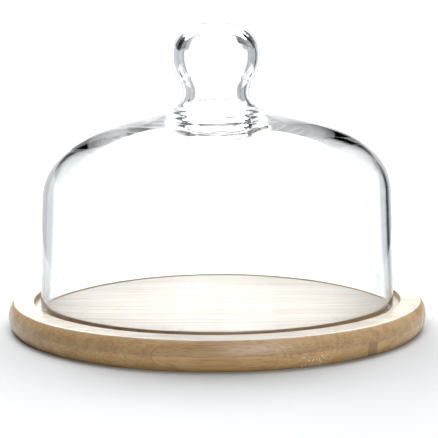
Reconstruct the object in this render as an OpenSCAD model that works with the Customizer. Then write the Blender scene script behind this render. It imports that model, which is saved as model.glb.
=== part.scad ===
// Cheese dome: a blown glass cloche with a hollow ball knob, standing in the routed
// groove of a round serving board glued up from two plies of bamboo staves.
// The origin is the centre of the board's underside, and +Z points up.
// The staves run along X. All lengths are in millimetres and all angles in degrees.

/* [Board] */
// Diameter at the middle of the board's rounded edge
board_d = 280; // [260:5:320]
// Thickness of the board
board_t = 18; // [16:1:24]
// How far the rounded edge stands out past the rims of the two flat faces
edge_bulge = 3.5; // [2:0.5:5]
// Thickness of the lower ply of staves
lower_ply_t = 9; // [7:0.5:10]
// Width of each stave in the upper ply
upper_stave_w = 25; // [20:1:35]
// Distance from the centre of the board to its frontmost joint in the upper ply
upper_first_joint = 110; // [100:1:120]
// Width of each stave in the lower ply
lower_stave_w = 12.5; // [12:0.5:20]
// Distance from the centre of the board to its frontmost joint in the lower ply
lower_first_joint = 122.5; // [110:0.5:123]
// Narrowest stave that is left at the back of either ply
least_stave_w = 10; // [8:1:11]

/* [Groove] */
// Outer diameter of the groove that holds the glass rim
groove_d = 246.6; // [244:0.2:250]
// Width of the groove
groove_w = 9.6; // [9:0.2:11]
// Depth of the groove
groove_depth = 4; // [3:0.5:5]

/* [Glass dome] */
// Outer diameter at the rim
dome_d = 238; // [236:0.5:240]
// Height from the board's underside to the top of the knob
overall_h = 201.5; // [198:0.5:210]
// Thickness of the glass in the wall and the shoulder
glass_t = 3.6; // [3:0.1:4.5]
// Inward lean of the side wall
wall_lean = 1.9; // [1:0.1:3]
// Height of the centre of the shoulder's curve
shoulder_z = 86; // [82:0.5:88]
// Radius of the shoulder's curve
shoulder_r = 40; // [36:1:44]
// Angle above level at which the shoulder's curve passes into the crown's
shoulder_turn = 57.5; // [54:0.5:60]
// Radius of the crown's curve
crown_r = 125; // [118:1:130]
// Angle above level at which the shoulder passes into the crown on the inner face
inner_turn = 60; // [58:0.5:62]
// Radius of the crown's curve on the inner face, smaller so that the glass thickens up to the neck
inner_crown_r = 105; // [100:1:112]
// Gap left between the rim and the groove's floor, so that the two only just meet
seat_gap = 0.2; // [0.1:0.1:0.4]

/* [Knob] */
// Largest diameter of the knob
knob_d = 59.5; // [56:0.5:64]
// Thickness of the glass in the knob and its neck
knob_t = 5.4; // [4.5:0.1:6]
// Depth of the widest level below the top
belly_drop = 22.2; // [22:0.2:24]
// Radius of the curve round the upper half of the knob
knob_side_r = 21.2; // [19:0.2:21.2]
// Radius of the curve round the lower half of the knob
knob_low_r = 30; // [28:0.5:32]
// Smallest diameter of the neck
neck_d = 44.4; // [42:0.2:46]
// Depth of the narrowest level below the top
neck_drop = 46.7; // [45:0.1:48]
// Radius of the sweep from the neck into the crown
flare_r = 10.3; // [9:0.1:12]
// Radius of the same sweep on the inner face
throat_r = 18; // [15:0.5:20]

/* [Hidden] */
turned_fn = 180;    // facets round a full turn of the board and the glass
arc_step = 4;       // largest angle between two points of an outline's arc
cut_over = 1;       // how far a cut runs past the face that it opens

board_r = board_d / 2;
bulge_r = (pow(board_t / 2, 2) + pow(edge_bulge, 2)) / (2 * edge_bulge);
groove_floor_z = board_t - groove_depth;
upper_count = floor((board_r - least_stave_w + upper_first_joint) / upper_stave_w) + 2;
lower_count = floor((board_r - least_stave_w + lower_first_joint) / lower_stave_w) + 2;

// The glass outline is a chain of arcs, each tangent to the next
rim_r = dome_d / 2;
rim_z = groove_floor_z + seat_gap + glass_t / 2;
shoulder_c = [
    rim_r - shoulder_r / cos(wall_lean) - (shoulder_z - rim_z) * tan(wall_lean),
    shoulder_z
];
belly_z = overall_h - belly_drop;
side_c = [knob_d / 2 - knob_side_r, belly_z];
cap_r = (pow(side_c[0], 2) + pow(belly_drop, 2) - pow(knob_side_r, 2))
    / (2 * (belly_drop - knob_side_r));
cap_c = [0, overall_h - cap_r];
cap_turn = atan2(side_c[1] - cap_c[1], side_c[0]);
low_c = [knob_d / 2 - knob_low_r, belly_z];
neck_z = overall_h - neck_drop;
neck_reach = neck_d / 2 - low_c[0];
neck_r = (pow(neck_reach, 2) + pow(belly_z - neck_z, 2) - pow(knob_low_r, 2))
    / (2 * (knob_low_r - neck_reach));
neck_c = [neck_d / 2 + neck_r, neck_z];
neck_turn = atan2(belly_z - neck_z, neck_c[0] - low_c[0]);

// Points of an arc about a centre, from one angle to another
function arc(centre, r, from, to) =
    let (steps = ceil(abs(to - from) / arc_step))
    [for (i = [0 : steps]) let (a = from + (to - from) * i / steps)
        centre + r * [cos(a), sin(a)]];

// One face of the glass from the knob's top to the rim, set in by the thickness of the wall
// and of the knob. A straight stretch touches the sweep under the neck and the crown's curve.
function glass_face(wall_t, top_t, turn, curve_r, sweep_r) =
    let (
        bend_r = shoulder_r - wall_t,
        crown_c = shoulder_c - (curve_r - bend_r) * [cos(turn), sin(turn)],
        sweep_c = [neck_d / 2 - top_t + sweep_r, neck_z],
        span = sweep_c - crown_c,
        slope = acos((curve_r + sweep_r) / norm(span)) - atan2(span[1], span[0]) + 90
    )
    concat(
        arc(cap_c, cap_r - top_t, 90, cap_turn),
        arc(side_c, knob_side_r - top_t, cap_turn, 0),
        arc(low_c, knob_low_r - top_t, 0, -neck_turn),
        arc(neck_c, neck_r + top_t, 180 - neck_turn, 180),
        arc(sweep_c, sweep_r, 180, 270 - slope),
        arc(crown_c, curve_r, 90 - slope, turn),
        arc(shoulder_c, bend_r, turn, wall_lean)
    );

function reversed(points) = [for (i = [len(points) - 1 : -1 : 0]) points[i]];

// Half section of the glass, with a rounded rim
module glass_section() {
    rim_c = [rim_r - glass_t / 2, rim_z];
    polygon(concat(
        glass_face(0, 0, shoulder_turn, crown_r, flare_r),
        arc(rim_c, glass_t / 2, wall_lean, wall_lean - 180),
        reversed(glass_face(glass_t, knob_t, inner_turn, inner_crown_r, throat_r))
    ));
}

// Half section of the board, with its rounded edge and the groove
module board_section() {
    difference() {
        intersection() {
            square([board_r, board_t]);
            union() {
                square([board_r - edge_bulge, board_t]);
                translate([board_r - bulge_r, board_t / 2]) circle(r = bulge_r, $fn = turned_fn);
            }
        }
        translate([groove_d / 2 - groove_w, groove_floor_z]) square([groove_w, groove_depth + cut_over]);
    }
}

// One stave of the turned board. The outermost staves run out to the board's edge.
module stave(i, count, first_joint, width, low_z, high_z) {
    near_y = i == 1 ? -board_r : (i - 2) * width - first_joint;
    far_y = i == count ? board_r : (i - 1) * width - first_joint;
    intersection() {
        rotate_extrude($fn = turned_fn) board_section();
        translate([-board_r, near_y, low_z]) cube([board_d, far_y - near_y, high_z - low_z]);
    }
}

module glass_dome() {
    color([0.86, 0.93, 0.94, 0.35]) rotate_extrude($fn = turned_fn) glass_section();
}

module upper_stave(i) {
    color(i % 2 == 0 ? "burlywood" : "wheat")
        stave(i, upper_count, upper_first_joint, upper_stave_w, lower_ply_t, board_t);
}

module lower_stave(i) {
    color(i % 2 == 0 ? "tan" : "burlywood")
        stave(i, lower_count, lower_first_joint, lower_stave_w, 0, lower_ply_t);
}

glass_dome();
for (i = [1 : upper_count])
    upper_stave(i);
for (i = [1 : lower_count])
    lower_stave(i);
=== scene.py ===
"""Looks of the cheese dome: a blown glass cloche on a laminated bamboo board, in a white studio."""

import math

import bmesh
import bpy
from mathutils import Matrix, Vector


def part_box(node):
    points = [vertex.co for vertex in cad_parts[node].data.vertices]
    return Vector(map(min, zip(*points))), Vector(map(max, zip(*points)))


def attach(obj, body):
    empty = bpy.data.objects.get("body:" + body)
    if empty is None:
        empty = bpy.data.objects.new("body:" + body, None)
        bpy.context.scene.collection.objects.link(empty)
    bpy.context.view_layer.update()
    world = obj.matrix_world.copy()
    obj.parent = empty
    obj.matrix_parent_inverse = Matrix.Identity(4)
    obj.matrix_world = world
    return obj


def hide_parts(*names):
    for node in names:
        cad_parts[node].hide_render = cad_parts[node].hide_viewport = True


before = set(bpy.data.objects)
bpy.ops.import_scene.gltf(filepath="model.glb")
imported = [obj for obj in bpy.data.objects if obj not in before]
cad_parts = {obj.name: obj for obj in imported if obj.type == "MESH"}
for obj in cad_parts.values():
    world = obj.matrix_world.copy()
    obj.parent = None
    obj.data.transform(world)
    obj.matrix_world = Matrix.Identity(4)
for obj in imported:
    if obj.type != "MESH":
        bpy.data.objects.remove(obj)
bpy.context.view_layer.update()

MM = 0.001

# ---------------------------------------------------------------- sizes, from the frame and in metres
staves = {
    ply: sorted((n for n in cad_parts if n.startswith(ply)), key=lambda n: int(n.split("_")[-1]))
    for ply in ("upper_stave", "lower_stave")
}
BOARD_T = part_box(staves["upper_stave"][0])[1].z
PLY_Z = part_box(staves["upper_stave"][0])[0].z
BOARD_R = -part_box(staves["lower_stave"][0])[0].y
TOP_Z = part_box("glass_dome")[1].z
SEAT_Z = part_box("glass_dome")[0].z

EDGE_BULGE = 3.5 * MM
ARRIS_R = 1.2 * MM          # the sanded edge round the serving face
GROOVE_OUT_R = 123.3 * MM
GROOVE_IN_R = 113.7 * MM
GROOVE_DEPTH = 4 * MM
GROOVE_LIP = 0.5 * MM       # the sanded edges of the groove

# The glass outline, as arcs that touch end to end
RIM_R = 119 * MM
WALL_T = 3.6 * MM
KNOB_T = 5.4 * MM
WALL_LEAN = math.radians(1.9)
SHOULDER_Z = 86 * MM
SHOULDER_R = 40 * MM
SHOULDER_TURN = math.radians(57.5)
CROWN_R = 125 * MM
KNOB_R = 29.75 * MM
BELLY_DROP = 22.2 * MM
KNOB_SIDE_R = 21.2 * MM
KNOB_LOW_R = 30 * MM
NECK_HALF = 22.2 * MM
NECK_DROP = 46.7 * MM
FLARE_R = 10.3 * MM
INNER_TURN = math.radians(60)
INNER_CROWN_R = 105 * MM
THROAT_R = 18 * MM

# The blown crown stands a little higher on the right than on the left
CROWN_SKEW = 0.018                     # height gained for each metre to the right
SKEW_START, SKEW_FULL = 60 * MM, 100 * MM
SKEW_FADE, SKEW_END = 120 * MM, 150 * MM

ARC_STEP = math.radians(2)
CROWN_STEP = math.radians(1)           # finer, because the crown has the largest radius
LIP_STEP = math.radians(18)
RIM_STEP = math.radians(12)
EDGE_STEP = math.radians(5)
TURN_STEPS = 288
SHARP_TURN = math.radians(40)          # edges of the wood that turn more than this stay sharp
MERGE = 1e-7                           # points nearer than this are one point
CUT_SLACK = 1e-5                       # faces nearer to the board's edge than this take no cut

# ---------------------------------------------------------------- looks
# Patterns, as features to the metre along X, Y and Z. The canes lie along X.
STRIAE = (14, 14, 90)
WAVES = (22, 22, 16)
HAZE = (60, 60, 60)
FIBRES = (9, 850, 850)
STREAKS = (5, 190, 190)
CLOUDS = (9, 30, 30)
BUNDLES = (18, 1000, 1000)
SPECKS = (900, 900, 700)

CLEAR, STRIA_TINT = (1.0, 1.0, 1.0), (0.988, 0.993, 0.993)
GLASS_IOR = 1.5
GLASS_WAVE = 0.02 * MM                 # height of the waves that the blowing left in the glass
HAZE_ROUGHNESS = 0.012

# What darkens the wood: tint, strength
STREAK_SHADE = (0.80, 0.74, 0.66), 0.75
CLOUD_SHADE = (0.90, 0.86, 0.80), 0.3
FIBRE_SHADE = (0.78, 0.72, 0.64), 0.75
BUNDLE_SHADE = (0.55, 0.42, 0.30), 0.55
NODE_SHADE = (0.66, 0.54, 0.42), 0.25
GLUE_SHADE = (0.52, 0.40, 0.28), 0.3

PAINTED_GLARE_TONE = (0.72, 0.66, 0.58)          # painted glare: a pale tone on the serving face, standing in for the glare of the light behind
PAINTED_GLARE_FACING = 0.75, 0.97                # how far up a face looks, where the painted glare starts and is full
PATTERN_SHIFT = (3, 3, 3)              # how far apart, in metres, two staves may take their patterns
NODE_SPACING = 210 * MM                # from one node of the cane to the next
NODE_BEND = 6 * MM
NODE_LINE = 0.4 * MM, 1.2 * MM
GLUE_LINE = 0.06 * MM, 0.2 * MM
GLUE_RELIEF = 0.45                     # depth of a glue line, as a share of the fibres' relief
FIBRE_RELIEF = 0.06 * MM
WOOD_ROUGHNESS = 0.30, 0.42
OIL_WEIGHT, OIL_ROUGHNESS = 0.25, 0.16

# What shows on the right of the lower ply's edge: start, end, top, tone, strength, speckled
MARKS = [
    (47 * MM, 60.5 * MM, 7 * MM, (0.92, 0.86, 0.72), 0.7, True),
    (70 * MM, 87.5 * MM, 9.5 * MM, (0.40, 0.26, 0.12), 0.6, False),
    (87.5 * MM, 94 * MM, 9.5 * MM, (0.24, 0.145, 0.07), 0.85, False),
]
MARK_EDGE = 0.4 * MM
MARK_BACK = -90 * MM, -85 * MM         # between these, in Y, the marks end

# Each ply's material name, stave width, frontmost joint, palest tone, darkest tone and marks
WOODS = {
    "upper_stave": ("upper_bamboo", 25 * MM, 110 * MM, (0.43, 0.285, 0.145), (0.39, 0.25, 0.12), []),
    "lower_stave": ("lower_bamboo", 12.5 * MM, 122.5 * MM, (0.55, 0.35, 0.16), (0.50, 0.31, 0.133), MARKS),
}

# ---------------------------------------------------------------- studio
# Patches of the studio's panorama in degrees: left, right, low, high, soft edge, light.
# Azimuth 0 is straight behind the object, and positive to the right. Later ones cover earlier ones.
BASE_LIGHT = 0.45
LIGHT_TINT = (0.955, 0.98, 1.0)
STUDIO = [
    (-200, 200, 50, 100, 8, 1.2),      # overhead
    (-56, 56, 31, 100, 4, 12.2),       # softbox behind and above
    (-13, 13, 17, 70, 4, 0.5),         # seam in the middle of the softbox
    (-190, -66, -5, 68, 15, 0.05),     # dark wall, left
    (172, 200, -5, 50, 10, 0.05),      # dark wall behind the camera
    (142, 180, 0, 50, 8, 5.0),         # window behind the camera, to the right
    (-64, -17, -9, 27, 3, 0.58),       # grey cloth, left
    (17, 64, -9, 27, 3, 0.52),         # grey cloth, right
    (-64, 64, -60, -8, 2, 1.1),        # the paper's pale surroundings
    (-18.5, 18.5, -40, 8, 2, 1.45),    # backdrop
    (-13, 13, 0, 24, 3, 1.45),         # its taller middle
    (28, 39, -9, 19, 1.5, 0.005),      # gap beside the backdrop, right
    (-37, -26, -19, -10, 1.5, 0.02),   # gap beside the paper, left
    (25, 35, -19, -11, 1.5, 0.02),     # gap beside the paper, right
    (-64, -17, 9, 30, 1.5, 0.005),     # gap above the left cloth
    (8, 46, 11, 38, 1.5, 0.005),       # gap above the backdrop, right
]
BOUNCES = 32                           # enough for the light to cross every face of the glass

# The roll of paper under the object
PAPER_HALF_W = 0.31
PAPER_FRONT = -1.4
PAPER_BACK = 1.2
PAPER_TONE = (0.345, 0.341, 0.339)     # under the object and in front of it
PAINTED_LIGHT_BACK_TONE = (0.43, 0.426, 0.42)        # painted light: the paper paler towards the backdrop, so it shows brighter through the glass
TONE_START, TONE_END = 0.0, 0.25
PAPER_ROUGHNESS = 0.6

CAMERA_AT = (0, -0.6968, 0.1507)
CAMERA_TURNS = (6.64, 0.12, -0.32)     # degrees downwards, to the right, and of lean
FOCAL_MM, SENSOR_MM = 85, 36


# ---------------------------------------------------------------- outlines
def arc(centre, r, start, end, step=ARC_STEP):
    """Points of an arc about a centre, from one angle to another, both ends included."""
    count = max(1, math.ceil(abs(end - start) / step))
    return [
        (centre[0] + r * math.cos(start + (end - start) * i / count),
         centre[1] + r * math.sin(start + (end - start) * i / count))
        for i in range(count + 1)
    ]


def joined(*runs):
    """Runs of points end to end, without the points that repeat."""
    points = []
    for run in runs:
        for p in run:
            if not points or math.dist(points[-1], p) > MERGE:
                points.append(p)
    return points


def glass_face(wall_t, knob_t, turn, crown_r, flare_r):
    """One face of the glass from the top of the knob to the rim, set in by a depth of glass."""
    rim_z = SEAT_Z + WALL_T / 2
    shoulder_r = SHOULDER_R - wall_t
    shoulder = (RIM_R - SHOULDER_R / math.cos(WALL_LEAN) - (SHOULDER_Z - rim_z) * math.tan(WALL_LEAN),
                SHOULDER_Z)
    crown = (shoulder[0] - (crown_r - shoulder_r) * math.cos(turn),
             shoulder[1] - (crown_r - shoulder_r) * math.sin(turn))
    belly_z = TOP_Z - BELLY_DROP
    side = (KNOB_R - KNOB_SIDE_R, belly_z)
    cap_r = (side[0] ** 2 + BELLY_DROP ** 2 - KNOB_SIDE_R ** 2) / (2 * (BELLY_DROP - KNOB_SIDE_R))
    cap = (0, TOP_Z - cap_r)
    cap_turn = math.atan2(side[1] - cap[1], side[0])
    low = (KNOB_R - KNOB_LOW_R, belly_z)
    neck_z = TOP_Z - NECK_DROP
    reach = NECK_HALF - low[0]
    neck_r = (reach ** 2 + (belly_z - neck_z) ** 2 - KNOB_LOW_R ** 2) / (2 * (KNOB_LOW_R - reach))
    neck = (NECK_HALF + neck_r, neck_z)
    neck_turn = math.atan2(belly_z - neck_z, neck[0] - low[0])
    flare = (NECK_HALF - knob_t + flare_r, neck_z)
    span = (flare[0] - crown[0], flare[1] - crown[1])
    # A straight stretch touches the flare and the crown, and falls at this slope
    slope = math.acos((crown_r + flare_r) / math.hypot(*span)) - math.atan2(span[1], span[0]) + math.pi / 2
    return joined(
        arc(cap, cap_r - knob_t, math.pi / 2, cap_turn),
        arc(side, KNOB_SIDE_R - knob_t, cap_turn, 0),
        arc(low, KNOB_LOW_R - knob_t, 0, -neck_turn),
        arc(neck, neck_r + knob_t, math.pi - neck_turn, math.pi),
        arc(flare, flare_r, math.pi, 1.5 * math.pi - slope),
        arc(crown, crown_r, math.pi / 2 - slope, turn, CROWN_STEP),
        arc(shoulder, shoulder_r, turn, WALL_LEAN),
    )


def glass_outline():
    """Half section of the glass: its outer face, its rounded rim, and its inner face back to the top."""
    rim = (RIM_R - WALL_T / 2, SEAT_Z + WALL_T / 2)
    outside = glass_face(0, 0, SHOULDER_TURN, CROWN_R, FLARE_R)
    end = arc(rim, WALL_T / 2, WALL_LEAN, WALL_LEAN - math.pi, RIM_STEP)
    inside = glass_face(WALL_T, KNOB_T, INNER_TURN, INNER_CROWN_R, THROAT_R)
    return joined(outside, end, reversed(inside))


def board_outline():
    """Half section of the board from the middle of its underside round to the middle of its top."""
    bulge_r = ((BOARD_T / 2) ** 2 + EDGE_BULGE ** 2) / (2 * EDGE_BULGE)
    bulge = (BOARD_R - bulge_r, BOARD_T / 2)
    # The arris arc touches the top face and the inside of the bulging edge
    drop = BOARD_T / 2 - ARRIS_R
    reach = math.sqrt((bulge_r - ARRIS_R) ** 2 - drop ** 2)
    turn = math.atan2(drop, reach)
    top_arris = (bulge[0] + reach, BOARD_T - ARRIS_R)
    low_arris = (bulge[0] + reach, ARRIS_R)
    floor_z = BOARD_T - GROOVE_DEPTH
    lip = GROOVE_LIP
    quarter = math.pi / 2
    return joined(
        [(0, 0)],
        arc(low_arris, ARRIS_R, -quarter, -turn, LIP_STEP),
        arc(bulge, bulge_r, -turn, turn, EDGE_STEP),
        arc(top_arris, ARRIS_R, turn, quarter, LIP_STEP),
        arc((GROOVE_OUT_R + lip, BOARD_T - lip), lip, quarter, 2 * quarter, LIP_STEP),
        arc((GROOVE_OUT_R - lip, floor_z + lip), lip, 0, -quarter, LIP_STEP),
        arc((GROOVE_IN_R + lip, floor_z + lip), lip, -quarter, -2 * quarter, LIP_STEP),
        arc((GROOVE_IN_R - lip, BOARD_T - lip), lip, 0, quarter, LIP_STEP),
        [(0, BOARD_T)],
    )


# ---------------------------------------------------------------- meshes
def turned(outline):
    """A mesh of an outline of (radius, height) points turned about Z."""
    bm = bmesh.new()
    turns = [2 * math.pi * i / TURN_STEPS for i in range(TURN_STEPS)]
    rings = []
    for r, z in outline:
        if r < MERGE:
            rings.append([bm.verts.new((0, 0, z))])
        else:
            rings.append([bm.verts.new((r * math.cos(a), r * math.sin(a), z)) for a in turns])
    for a, b in zip(rings, rings[1:]):
        for i in range(TURN_STEPS):
            j = (i + 1) % TURN_STEPS
            corners = [a[i % len(a)], b[i % len(b)], b[j % len(b)], a[j % len(a)]]
            unique = list(dict.fromkeys(corners))
            if len(unique) > 2:
                bm.faces.new(unique)
    return bm


def to_object(bm, name, material):
    bmesh.ops.recalc_face_normals(bm, faces=bm.faces)
    mesh = bpy.data.meshes.new(name)
    bm.to_mesh(mesh)
    bm.free()
    obj = bpy.data.objects.new(name, mesh)
    bpy.context.scene.collection.objects.link(obj)
    mesh.materials.append(material)
    return obj


def sliced(bm, point, normal):
    """Cuts the mesh at a plane, drops what lies beyond it along the normal, and closes the cut."""
    geom = bm.verts[:] + bm.edges[:] + bm.faces[:]
    cut = bmesh.ops.bisect_plane(bm, geom=geom, plane_co=point, plane_no=normal, clear_outer=True)
    edges = [e for e in cut["geom_cut"] if isinstance(e, bmesh.types.BMEdge)]
    if edges:
        bmesh.ops.triangle_fill(bm, edges=edges, use_beauty=True, use_dissolve=True)


def make_stave(node, blank, material):
    """Cuts a stave out of the turned board, at the faces that the node has in the frame."""
    low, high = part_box(node)
    bm = bmesh.new()
    bm.from_mesh(blank)
    in_upper_ply = low.z > PLY_Z / 2
    sliced(bm, (0, 0, PLY_Z), (0, 0, -1 if in_upper_ply else 1))
    if low.y > -BOARD_R + CUT_SLACK:
        sliced(bm, (0, low.y, 0), (0, -1, 0))
    if high.y < BOARD_R - CUT_SLACK:
        sliced(bm, (0, high.y, 0), (0, 1, 0))
    piece = to_object(bm, node + "_wood", material)
    piece.data.shade_smooth()
    piece.data.set_sharp_from_angle(angle=SHARP_TURN)
    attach(piece, "board")
    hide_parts(node)


def share(value, start, end):
    """How far a value lies from start to end, held at 0 and 1."""
    return min(1, max(0, (value - start) / (end - start)))


def make_glass(material):
    bm = turned(glass_outline())
    for v in bm.verts:
        amount = share(v.co.z, SKEW_START, SKEW_FULL) * share(v.co.z, SKEW_END, SKEW_FADE)
        v.co.z += CROWN_SKEW * v.co.x * amount * amount * (3 - 2 * amount)
    piece = to_object(bm, "blown_glass", material)
    piece.data.shade_smooth()
    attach(piece, "dome")
    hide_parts("glass_dome")


# ---------------------------------------------------------------- nodes
def new_material(name):
    mat = bpy.data.materials.new(name)
    mat.use_nodes = True
    tree = mat.node_tree
    return mat, tree, tree.nodes["Principled BSDF"]


def coordinates(tree, kind):
    """A texture coordinate, whole and as its X, Y and Z."""
    where = tree.nodes.new("ShaderNodeTexCoord").outputs[kind]
    parts = tree.nodes.new("ShaderNodeSeparateXYZ")
    tree.links.new(where, parts.inputs[0])
    return where, *parts.outputs


def math_node(tree, kind, a, b=0.0):
    node = tree.nodes.new("ShaderNodeMath")
    node.operation = kind
    for socket, value in zip(node.inputs, (a, b)):
        if isinstance(value, (int, float)):
            socket.default_value = value
        else:
            tree.links.new(value, socket)
    return node.outputs[0]


def vector_node(tree, kind, a, b):
    node = tree.nodes.new("ShaderNodeVectorMath")
    node.operation = kind
    for socket, value in zip(node.inputs, (a, b)):
        if isinstance(value, tuple):
            socket.default_value = value
        else:
            tree.links.new(value, socket)
    return node.outputs[0]


def mixed(tree, kind, factor, a, b):
    """Mixes two colours; each may be a colour or a socket."""
    node = tree.nodes.new("ShaderNodeMix")
    node.data_type = "RGBA"
    node.blend_type = kind
    colours = [i for i in node.inputs if i.type == "RGBA"]
    for socket, value in ((node.inputs[0], factor), (colours[0], a), (colours[1], b)):
        if isinstance(value, tuple):
            socket.default_value = (*value, 1)
        else:
            tree.links.new(value, socket)
    return [o for o in node.outputs if o.type == "RGBA"][0]


def shaded(tree, tone, amount, shade):
    """Darkens a tone by a shade's tint, where the amount is above 0."""
    tint, strength = shade
    return mixed(tree, "MULTIPLY", math_node(tree, "MULTIPLY", amount, strength), tone, tint)


def ramped(tree, value, low, high, to_low=0.0, to_high=1.0):
    """Maps a value smoothly from one range to another, and holds it at the ends."""
    node = tree.nodes.new("ShaderNodeMapRange")
    node.interpolation_type = "SMOOTHSTEP"
    for name, number in (("From Min", low), ("From Max", high), ("To Min", to_low), ("To Max", to_high)):
        node.inputs[name].default_value = number
    tree.links.new(value, node.inputs["Value"])
    return node.outputs["Result"]


def noise(tree, where, pattern, detail=3.0, rough=0.5):
    node = tree.nodes.new("ShaderNodeTexNoise")
    tree.links.new(vector_node(tree, "MULTIPLY", where, pattern), node.inputs["Vector"])
    node.inputs["Scale"].default_value = 1
    node.inputs["Detail"].default_value = detail
    node.inputs["Roughness"].default_value = rough
    return node.outputs[0]


def bumped(tree, height, depth):
    node = tree.nodes.new("ShaderNodeBump")
    node.inputs["Strength"].default_value = 1
    node.inputs["Distance"].default_value = depth
    tree.links.new(height, node.inputs["Height"])
    return node.outputs[0]


# ---------------------------------------------------------------- materials
def glass_material():
    """Clear blown glass: faint striae in its tint, slow waves in its surface, and traces of haze."""
    mat, tree, shader = new_material("clear_blown_glass")
    link = tree.links.new
    where, *_ = coordinates(tree, "Object")
    striae = ramped(tree, noise(tree, where, STRIAE, 2), 0.35, 0.7)
    link(mixed(tree, "MIX", striae, CLEAR, STRIA_TINT), shader.inputs["Base Color"])
    link(bumped(tree, noise(tree, where, WAVES, 1.5), GLASS_WAVE), shader.inputs["Normal"])
    haze = ramped(tree, noise(tree, where, HAZE), 0.62, 0.8, 0.0, HAZE_ROUGHNESS)
    link(haze, shader.inputs["Roughness"])
    shader.inputs["Transmission Weight"].default_value = 1
    shader.inputs["IOR"].default_value = GLASS_IOR
    return mat


def cane_nodes(tree, x, clouds, pick):
    """1 on the rings where a cane had its nodes, a little bent, and elsewhere on each stave."""
    along = math_node(tree, "ADD", x, math_node(tree, "MULTIPLY", clouds, NODE_BEND))
    shift = math_node(tree, "MULTIPLY", pick, NODE_SPACING)
    turns = math_node(tree, "DIVIDE", math_node(tree, "ADD", along, shift), NODE_SPACING)
    middle = math_node(tree, "SUBTRACT", math_node(tree, "FRACT", turns), 0.5)
    off = math_node(tree, "MULTIPLY", math_node(tree, "ABSOLUTE", middle), NODE_SPACING)
    return ramped(tree, off, *NODE_LINE, 1.0, 0.0)


def glue_lines(tree, across, width, z):
    """1 on the glue lines between neighbours and between the plies."""
    seam = math_node(tree, "MULTIPLY", math_node(tree, "PINGPONG", across, 0.5), width)
    ply_gap = math_node(tree, "ABSOLUTE", math_node(tree, "SUBTRACT", z, PLY_Z))
    return ramped(tree, math_node(tree, "MINIMUM", seam, ply_gap), *GLUE_LINE, 1.0, 0.0)


def marked(tree, tone, position, mark):
    """Lays one mark of the edge over a tone."""
    where, x, y, z = position
    start, end, top, tint, strength, speckled = mark
    limits = [
        ramped(tree, x, start, start + MARK_EDGE),
        ramped(tree, x, end - MARK_EDGE, end, 1.0, 0.0),
        ramped(tree, y, *MARK_BACK, 1.0, 0.0),
        ramped(tree, z, top - MARK_EDGE, top, 1.0, 0.0),
    ]
    if speckled:
        limits.append(ramped(tree, noise(tree, where, SPECKS, 1), 0.56, 0.62))
    inside = strength
    for limit in limits:
        inside = math_node(tree, "MULTIPLY", inside, limit)
    return mixed(tree, "MIX", inside, tone, tint)


def bamboo_material(name, width, first_joint, pale, dark, marks):
    """Bamboo staves along X: a tone for each, painted glare on faces that look up, fibres, bundle dots on
    the end grain, nodes and joints.
    """
    mat, tree, shader = new_material(name)
    link = tree.links.new
    position = coordinates(tree, "Object")
    where, x, y, z = position
    across = math_node(tree, "DIVIDE", math_node(tree, "ADD", y, first_joint), width)
    pick = tree.nodes.new("ShaderNodeTexWhiteNoise")
    pick.noise_dimensions = "1D"
    link(math_node(tree, "FLOOR", across), pick.inputs["W"])
    # Each stave is cut from another cane, so its pattern starts elsewhere
    shift = vector_node(tree, "MULTIPLY", pick.outputs["Color"], PATTERN_SHIFT)
    own = vector_node(tree, "ADD", where, shift)
    fibres = noise(tree, own, FIBRES, 4, 0.65)
    streaks = noise(tree, own, STREAKS, 3)
    clouds = noise(tree, own, CLOUDS, 2)
    bundles = tree.nodes.new("ShaderNodeTexVoronoi")
    bundles.inputs["Scale"].default_value = 1
    link(vector_node(tree, "MULTIPLY", own, BUNDLES), bundles.inputs["Vector"])
    dots = ramped(tree, bundles.outputs["Distance"], 0.12, 0.34, 1.0, 0.0)
    glue = glue_lines(tree, across, width, z)
    _, _, _, facing_up = coordinates(tree, "Normal")

    tone = mixed(tree, "MIX", pick.outputs["Value"], pale, dark)
    # Painted glare: faces that look up are paled, standing in for the glare of the light behind
    tone = mixed(tree, "MIX", ramped(tree, facing_up, *PAINTED_GLARE_FACING), tone, PAINTED_GLARE_TONE)
    tone = shaded(tree, tone, ramped(tree, streaks, 0.35, 0.7), STREAK_SHADE)
    tone = shaded(tree, tone, ramped(tree, clouds, 0.4, 0.7), CLOUD_SHADE)
    tone = shaded(tree, tone, ramped(tree, fibres, 0.45, 0.62), FIBRE_SHADE)
    tone = shaded(tree, tone, dots, BUNDLE_SHADE)
    tone = shaded(tree, tone, cane_nodes(tree, x, clouds, pick.outputs["Value"]), NODE_SHADE)
    tone = shaded(tree, tone, glue, GLUE_SHADE)
    for mark in marks:
        tone = marked(tree, tone, position, mark)
    link(tone, shader.inputs["Base Color"])

    relief = math_node(tree, "SUBTRACT", fibres, math_node(tree, "MULTIPLY", glue, GLUE_RELIEF))
    link(bumped(tree, relief, FIBRE_RELIEF), shader.inputs["Normal"])
    link(ramped(tree, streaks, 0.3, 0.7, *WOOD_ROUGHNESS), shader.inputs["Roughness"])
    shader.inputs["Coat Weight"].default_value = OIL_WEIGHT
    shader.inputs["Coat Roughness"].default_value = OIL_ROUGHNESS
    return mat


# ---------------------------------------------------------------- stage
def make_floor():
    """The roll of pale paper that the object stands on, with painted light that pales it towards the
    backdrop.
    """
    mat, tree, shader = new_material("white_paper")
    _, _, y, _ = coordinates(tree, "Object")
    # Painted light: the paper's tone rises towards the backdrop
    behind = ramped(tree, y, TONE_START, TONE_END)
    tree.links.new(mixed(tree, "MIX", behind, PAPER_TONE, PAINTED_LIGHT_BACK_TONE), shader.inputs["Base Color"])
    shader.inputs["Roughness"].default_value = PAPER_ROUGHNESS
    bm = bmesh.new()
    corners = [(x, y, 0) for x, y in ((-PAPER_HALF_W, PAPER_FRONT), (PAPER_HALF_W, PAPER_FRONT),
                                      (PAPER_HALF_W, PAPER_BACK), (-PAPER_HALF_W, PAPER_BACK))]
    bm.faces.new([bm.verts.new(c) for c in corners])
    floor = to_object(bm, "floor", mat)


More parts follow.
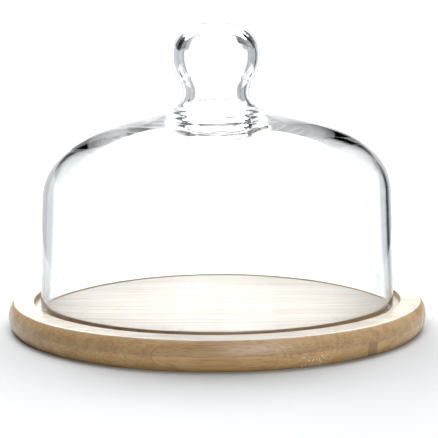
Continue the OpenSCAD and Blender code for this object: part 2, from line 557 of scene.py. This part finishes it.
def make_world():
    """A white studio seen as a panorama: bright backdrop, softboxes, and the dark gaps between them."""
    world = bpy.data.worlds.new("white_studio")
    bpy.context.scene.world = world
    world.use_nodes = True
    tree = world.node_tree
    _, x, y, z = coordinates(tree, "Generated")
    turn = math_node(tree, "ARCTAN2", x, y)
    rise = math_node(tree, "ARCSINE", z)
    level = BASE_LIGHT
    for left, right, low, high, soft, light in STUDIO:
        inside = 1.0
        for angle, edge, sign in ((turn, left, 1), (turn, right, -1), (rise, low, 1), (rise, high, -1)):
            depth = math_node(tree, "MULTIPLY", math_node(tree, "SUBTRACT", angle, math.radians(edge)), sign)
            ramp = math_node(tree, "DIVIDE", depth, math.radians(soft))
            ramp.node.use_clamp = True
            inside = math_node(tree, "MULTIPLY", inside, ramp)
        gain = math_node(tree, "MULTIPLY", inside, math_node(tree, "SUBTRACT", light, level))
        level = math_node(tree, "ADD", level, gain)
    shade = tree.nodes["Background"]
    shade.inputs["Color"].default_value = (*LIGHT_TINT, 1)
    tree.links.new(level, shade.inputs["Strength"])


def make_camera():
    data = bpy.data.cameras.new("camera")
    data.lens = FOCAL_MM
    data.sensor_width = SENSOR_MM
    cam = bpy.data.objects.new("camera", data)
    bpy.context.scene.collection.objects.link(cam)
    pitch, yaw, roll = (math.radians(a) for a in CAMERA_TURNS)
    ahead = Vector((math.sin(yaw) * math.cos(pitch), math.cos(yaw) * math.cos(pitch), -math.sin(pitch)))
    right = Vector((math.cos(yaw), -math.sin(yaw), 0))
    up = right.cross(ahead)
    x_axis = right * math.cos(roll) + up * math.sin(roll)
    y_axis = up * math.cos(roll) - right * math.sin(roll)
    turn = Matrix((x_axis, y_axis, -ahead)).transposed()
    cam.matrix_world = Matrix.Translation(CAMERA_AT) @ turn.to_4x4()
    bpy.context.scene.camera = cam


# ---------------------------------------------------------------- build
bpy.context.scene.view_settings.view_transform = "Standard"
cycles = bpy.context.scene.cycles
cycles.max_bounces = cycles.glossy_bounces = cycles.transmission_bounces = BOUNCES

blank = bpy.data.meshes.new("board_blank")
blank_bm = turned(board_outline())
blank_bm.to_mesh(blank)
blank_bm.free()

for ply, names in staves.items():
    slot, *look = WOODS[ply]
    wood = bamboo_material(slot + "_wood", *look)
    for node in names:
        make_stave(node, blank, wood)
make_glass(glass_material())
make_floor()
make_world()
make_camera()
